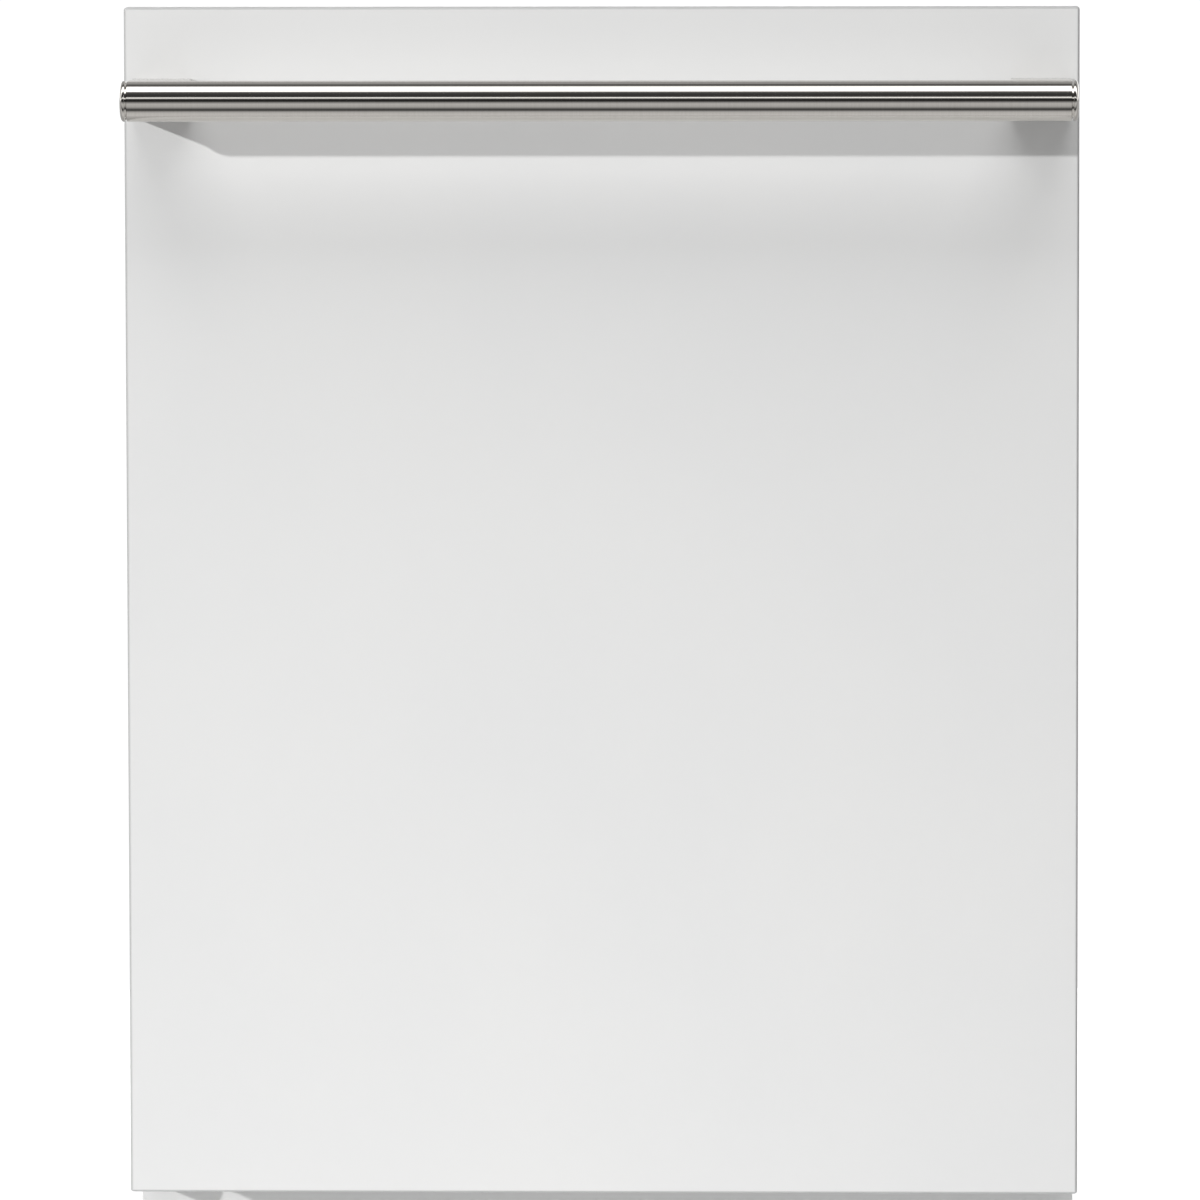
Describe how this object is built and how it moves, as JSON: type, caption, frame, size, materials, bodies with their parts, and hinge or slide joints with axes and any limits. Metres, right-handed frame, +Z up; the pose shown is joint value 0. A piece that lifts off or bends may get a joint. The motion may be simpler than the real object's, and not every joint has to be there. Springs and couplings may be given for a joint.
{
  "type": "built-in dishwasher",
  "caption": "Front-loading built-in dishwasher with a flat white drop-down door, a full-width steel bar handle, pull-out wire racks and rotating spray arms inside a steel tub",
  "frame": {"origin": "on the floor below the middle of the bounding box, feet screwed right in", "axes": "+Z up, the door faces -Y, +X to the right of someone who stands in front of it"},
  "size_m": [0.597, 0.6788, 0.857],
  "materials": {
    "enamel": "smooth satin white enamel",
    "brushed_steel": "fine brushing round the bar",
    "steel": "bright drawn sheet",
    "zinc": "dull zinc plate",
    "black_plastic": "fine-grained moulding",
    "grey_plastic": "satin moulding",
    "pale_plastic": "satin moulding",
    "rubber": "matt extruded seal",
    "rack_coat": "nylon coat over steel wire",
    "foot_steel": "black-coated steel",
    "dark_glass": "polished dark window",
    "felt": "matted felt"
  },
  "bodies": {
    "chassis": {"tub": "steel", "insulation_wrap": "felt", "base_frame": "black_plastic", "frame_rail_left": "zinc", "frame_rail_right": "zinc", "toe_kick": "enamel", "door_gasket": "rubber", "latch_strike": "zinc", "sump": "grey_plastic", "filter_plate": "steel", "circulation_pump": "black_plastic", "drain_pump": "grey_plastic", "inlet_valve": "pale_plastic", "junction_box": "zinc", "heating_element": "zinc", "water_feed_tube": "grey_plastic", "hinge_cassette_left": "zinc", "hinge_cassette_right": "zinc"},
    "door": {"door_outer_panel": "enamel", "door_inner_liner": "steel", "control_housing": "black_plastic", "display_window": "dark_glass", "handle_tube": "brushed_steel", "handle_end_cap_left": "brushed_steel", "handle_end_cap_right": "brushed_steel", "handle_post_left": "brushed_steel", "handle_post_right": "brushed_steel", "detergent_dispenser": "grey_plastic", "hinge_arm_left": "zinc", "hinge_arm_right": "zinc"},
    "lower_rack_body": {"lower_rack": "rack_coat", "wheel_bracket_left": "pale_plastic", "wheel_bracket_right": "pale_plastic"},
    "upper_rack_body": {"upper_rack": "rack_coat"},
    "third_rack_body": {"third_rack": "rack_coat"},
    "upper_rails": {"upper_rail_left": "zinc", "upper_rail_right": "zinc"},
    "third_rails": {"third_rail_left": "zinc", "third_rail_right": "zinc"},
    "front_wheel_left_body": {"front_wheel_left": "pale_plastic"},
    "rear_wheel_left_body": {"rear_wheel_left": "pale_plastic"},
    "front_wheel_right_body": {"front_wheel_right": "pale_plastic"},
    "rear_wheel_right_body": {"rear_wheel_right": "pale_plastic"},
    "cutlery_basket_body": {"cutlery_basket": "grey_plastic"},
    "lower_spray_arm_body": {"lower_spray_arm": "grey_plastic"},
    "middle_spray_arm_body": {"middle_spray_arm": "grey_plastic"},
    "ceiling_sprayer_body": {"ceiling_sprayer": "grey_plastic"},
    "filter_cup_body": {"filter_cup": "grey_plastic"},
    "float_dome_body": {"float_dome": "pale_plastic"},
    "front_foot_left_body": {"front_foot_left": "foot_steel"},
    "front_foot_right_body": {"front_foot_right": "foot_steel"},
    "rear_foot_left_body": {"rear_foot_left": "foot_steel"},
    "rear_foot_right_body": {"rear_foot_right": "foot_steel"},
    "power_button_body": {"power_button": "grey_plastic"},
    "program_button_body": {"program_button": "grey_plastic"},
    "delay_button_body": {"delay_button": "grey_plastic"},
    "start_button_body": {"start_button": "grey_plastic"},
    "dispenser_lid_body": {"dispenser_lid": "pale_plastic"},
    "rinse_aid_cap_body": {"rinse_aid_cap": "pale_plastic"},
    "door_latch_body": {"door_latch": "zinc"}
  },
  "joints": [
    {"name": "door_hinge", "type": "hinge", "parent": "chassis", "child": "door", "pos_m": [0, -0.222, 0.124], "axis": [1, 0, 0], "range_deg": [0, 90], "stiffness_Nm_per_rad": 25, "springref_deg": -14.32},
    {"name": "lower_rack_slide", "type": "slide", "parent": "chassis", "child": "lower_rack_body", "axis": [0, -1, 0], "range_m": [0, 0.205]},
    {"name": "upper_rack_slide", "type": "slide", "parent": "chassis", "child": "upper_rack_body", "axis": [0, -1, 0], "range_m": [0, 0.441]},
    {"name": "third_rack_slide", "type": "slide", "parent": "chassis", "child": "third_rack_body", "axis": [0, -1, 0], "range_m": [0, 0.441]},
    {"name": "upper_rails_slide", "type": "slide", "parent": "chassis", "child": "upper_rails", "axis": [0, -1, 0], "range_m": [0, 0.2205]},
    {"name": "third_rails_slide", "type": "slide", "parent": "chassis", "child": "third_rails", "axis": [0, -1, 0], "range_m": [0, 0.2205]},
    {"name": "front_wheel_left_roll", "type": "hinge", "parent": "lower_rack_body", "child": "front_wheel_left_body", "pos_m": [-0.241, -0.094, 0.1698], "axis": [1, 0, 0], "range_deg": [0, 652]},
    {"name": "rear_wheel_left_roll", "type": "hinge", "parent": "lower_rack_body", "child": "rear_wheel_left_body", "pos_m": [-0.241, 0.205, 0.1698], "axis": [1, 0, 0], "range_deg": [0, 652]},
    {"name": "front_wheel_right_roll", "type": "hinge", "parent": "lower_rack_body", "child": "front_wheel_right_body", "pos_m": [0.241, -0.094, 0.1698], "axis": [1, 0, 0], "range_deg": [0, 652]},
    {"name": "rear_wheel_right_roll", "type": "hinge", "parent": "lower_rack_body", "child": "rear_wheel_right_body", "pos_m": [0.241, 0.205, 0.1698], "axis": [1, 0, 0], "range_deg": [0, 652]},
    {"name": "cutlery_basket_lift", "type": "slide", "parent": "lower_rack_body", "child": "cutlery_basket_body", "axis": [0, 0, 1], "range_m": [0, 0.09]},
    {"name": "lower_arm_spin", "type": "hinge", "parent": "chassis", "child": "lower_spray_arm_body", "pos_m": [0, 0.02, 0.19], "axis": [0, 0, 1], "continuous": true},
    {"name": "middle_arm_spin", "type": "hinge", "parent": "upper_rack_body", "child": "middle_spray_arm_body", "pos_m": [0, 0.02, 0.468], "axis": [0, 0, 1], "continuous": true},
    {"name": "ceiling_sprayer_spin", "type": "hinge", "parent": "chassis", "child": "ceiling_sprayer_body", "pos_m": [0, 0.02, 0.8], "axis": [0, 0, 1], "continuous": true},
    {"name": "filter_cup_twist", "type": "hinge", "parent": "chassis", "child": "filter_cup_body", "pos_m": [0, 0.108, 0.155], "axis": [0, 0, 1], "range_deg": [0, 60]},
    {"name": "float_rise", "type": "slide", "parent": "chassis", "child": "float_dome_body", "axis": [0, 0, 1], "range_m": [0, 0.012]},
    {"name": "front_foot_left_screw", "type": "slide", "parent": "chassis", "child": "front_foot_left_body", "axis": [0, 0, 1], "range_m": [-0.03, 0]},
    {"name": "front_foot_right_screw", "type": "slide", "parent": "chassis", "child": "front_foot_right_body", "axis": [0, 0, 1], "range_m": [-0.03, 0]},
    {"name": "rear_foot_left_screw", "type": "slide", "parent": "chassis", "child": "rear_foot_left_body", "axis": [0, 0, 1], "range_m": [-0.03, 0]},
    {"name": "rear_foot_right_screw", "type": "slide", "parent": "chassis", "child": "rear_foot_right_body", "axis": [0, 0, 1], "range_m": [-0.03, 0]},
    {"name": "power_button_press", "type": "slide", "parent": "door", "child": "power_button_body", "axis": [0, 0, -1], "range_m": [0, 0.0015], "stiffness_N_per_m": 600, "springref_m": -0.0008},
    {"name": "program_button_press", "type": "slide", "parent": "door", "child": "program_button_body", "axis": [0, 0, -1], "range_m": [0, 0.0015], "stiffness_N_per_m": 600, "springref_m": -0.0008},
    {"name": "delay_button_press", "type": "slide", "parent": "door", "child": "delay_button_body", "axis": [0, 0, -1], "range_m": [0, 0.0015], "stiffness_N_per_m": 600, "springref_m": -0.0008},
    {"name": "start_button_press", "type": "slide", "parent": "door", "child": "start_button_body", "axis": [0, 0, -1], "range_m": [0, 0.0015], "stiffness_N_per_m": 600, "springref_m": -0.0008},
    {"name": "dispenser_lid_slide", "type": "slide", "parent": "door", "child": "dispenser_lid_body", "axis": [-1, 0, 0], "range_m": [0, 0.066]},
    {"name": "rinse_aid_cap_turn", "type": "hinge", "parent": "door", "child": "rinse_aid_cap_body", "pos_m": [0.06, -0.212, 0.44], "axis": [0, 1, 0], "range_deg": [0, 90]},
    {"name": "latch_swing", "type": "hinge", "parent": "door", "child": "door_latch_body", "pos_m": [0, -0.25, 0.818], "axis": [1, 0, 0], "range_deg": [0, 16]}
  ],
  "couplings": [
    {"joint": "lower_rack_slide", "follows": "door_hinge", "m_per_rad": 0.13},
    {"joint": "upper_rack_slide", "follows": "door_hinge", "m_per_rad": 0.28},
    {"joint": "third_rack_slide", "follows": "door_hinge", "m_per_rad": 0.28},
    {"joint": "upper_rails_slide", "follows": "door_hinge", "m_per_rad": 0.14},
    {"joint": "third_rails_slide", "follows": "door_hinge", "m_per_rad": 0.14},
    {"joint": "front_wheel_left_roll", "follows": "door_hinge", "ratio": 7.2222},
    {"joint": "rear_wheel_left_roll", "follows": "door_hinge", "ratio": 7.2222},
    {"joint": "front_wheel_right_roll", "follows": "door_hinge", "ratio": 7.2222},
    {"joint": "rear_wheel_right_roll", "follows": "door_hinge", "ratio": 7.2222}
  ]
}
